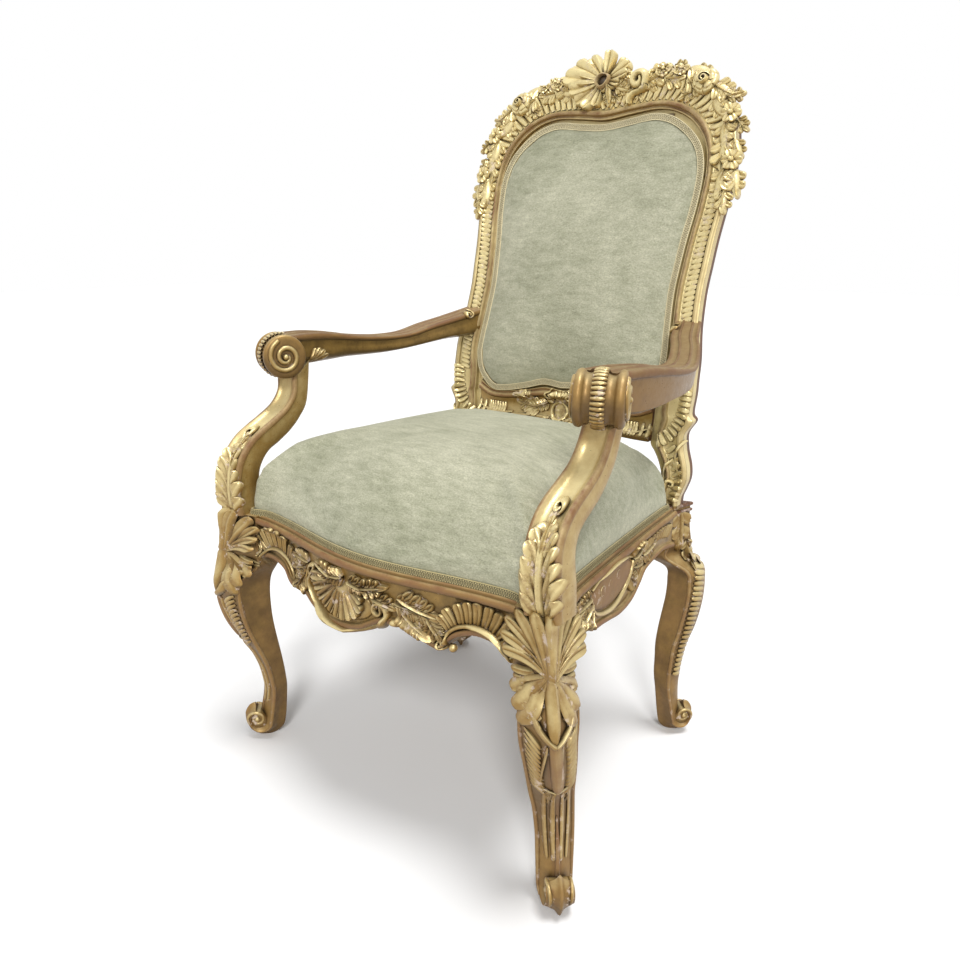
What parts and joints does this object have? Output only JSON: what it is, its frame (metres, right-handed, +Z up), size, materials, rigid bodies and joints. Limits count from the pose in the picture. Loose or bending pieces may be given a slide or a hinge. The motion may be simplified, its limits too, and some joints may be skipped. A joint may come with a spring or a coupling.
{
  "type": "open armchair",
  "caption": "Carved and gilded open armchair with serpentine seat rails, scroll feet, scrolled arms, an arched back and an upholstered seat and back.",
  "frame": {"origin": "on the floor under the middle of the chair's bounding box", "axes": "+X to the sitter's left, +Y towards the back, +Z up"},
  "size_m": [0.6826, 0.6563, 1.1215],
  "materials": {
    "gilded_wood": "aged water gilding over red-brown bole, worn on the edges",
    "plain_beech": "stained brown beech",
    "dowel_beech": "plain beech",
    "velvet": "short-pile sage green velvet",
    "braid": "woven pale gold braid",
    "linen": "plain linen and jute",
    "steel": "plain"
  },
  "bodies": {
    "root": {"front_leg_left": "gilded_wood", "front_leg_right": "gilded_wood", "rear_post_left": "gilded_wood", "rear_post_right": "gilded_wood", "front_rail": "gilded_wood", "side_rail_left": "gilded_wood", "side_rail_right": "gilded_wood", "rear_rail": "plain_beech", "crest_rail": "gilded_wood", "lower_back_rail": "gilded_wood", "arm_left": "gilded_wood", "arm_right": "gilded_wood", "arm_support_left": "gilded_wood", "arm_support_right": "gilded_wood", "corner_block_front_left": "plain_beech", "corner_block_front_right": "plain_beech", "corner_block_back_left": "plain_beech", "corner_block_back_right": "plain_beech", "corner_screws": "steel", "dowels": "dowel_beech", "seat_webbing": "linen", "seat_hessian": "linen", "seat_cushion": "velvet", "seat_gimp": "braid", "back_webbing": "linen", "back_pad": "velvet", "back_gimp": "braid", "outside_back_cover": "velvet", "outside_back_gimp": "braid", "crest_shell": "gilded_wood", "crest_volute": "gilded_wood", "crest_flowers_left": "gilded_wood", "crest_flowers_right": "gilded_wood", "back_rail_rosette": "gilded_wood", "apron_shell": "gilded_wood", "side_cartouche_left": "gilded_wood", "side_cartouche_right": "gilded_wood"}
  },
  "joints": []
}
